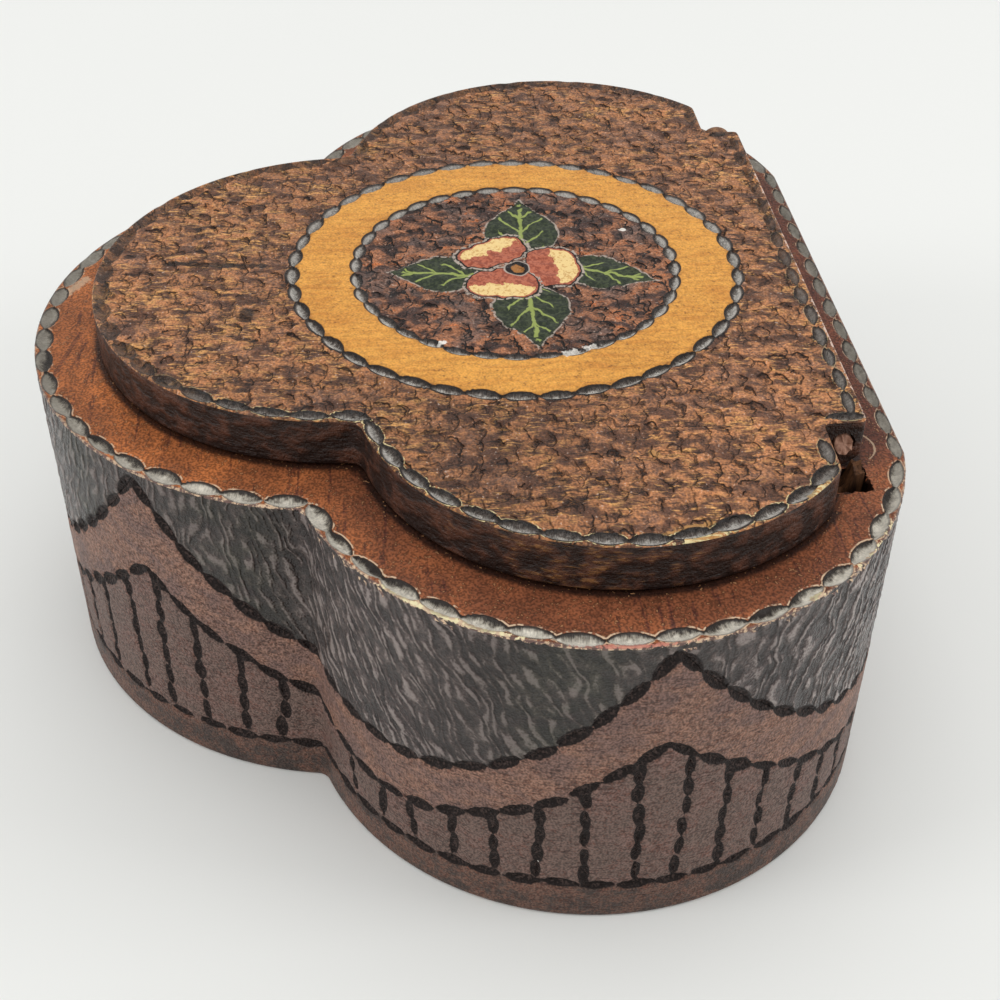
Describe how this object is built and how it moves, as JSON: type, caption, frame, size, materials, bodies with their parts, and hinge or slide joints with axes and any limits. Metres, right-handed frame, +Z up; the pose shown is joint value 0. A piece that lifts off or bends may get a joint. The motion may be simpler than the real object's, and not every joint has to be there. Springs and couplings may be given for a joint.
{
  "type": "carved wooden trinket box",
  "caption": "Three-lobed, heart-like trinket box of dark carved wood with a hollow body and a board lid that swings up on a pinned wooden hinge, carved in gouge-cut chains.",
  "frame": {"origin": "middle of the underside, on the surface the box stands on", "axes": "+Z up, +Y towards the hinge side, -Y towards the round front lobe, +X towards the right-hand lobe seen from the front, where the hinge ear is broken"},
  "size_m": [0.1258, 0.1034, 0.0509],
  "materials": {
    "body_wood": "stained and varnished, charcoal, mauve-brown and red-brown fields",
    "lid_wood": "dark pecked and stained, with a honey-coloured varnished ring",
    "fitting_wood": "plain stained wood, raw where broken"
  },
  "bodies": {
    "body": {"box_body": "body_wood", "left_hinge_ear": "fitting_wood", "right_ear_stump": "fitting_wood"},
    "lid": {"lid": "lid_wood", "left_hinge_pin": "fitting_wood", "right_hinge_pin": "fitting_wood"}
  },
  "joints": [
    {"name": "lid_hinge", "type": "hinge", "parent": "body", "child": "lid", "pos_m": [0, 0.0433, 0.0478], "axis": [-1, 0, 0], "range_deg": [0, 110]}
  ]
}
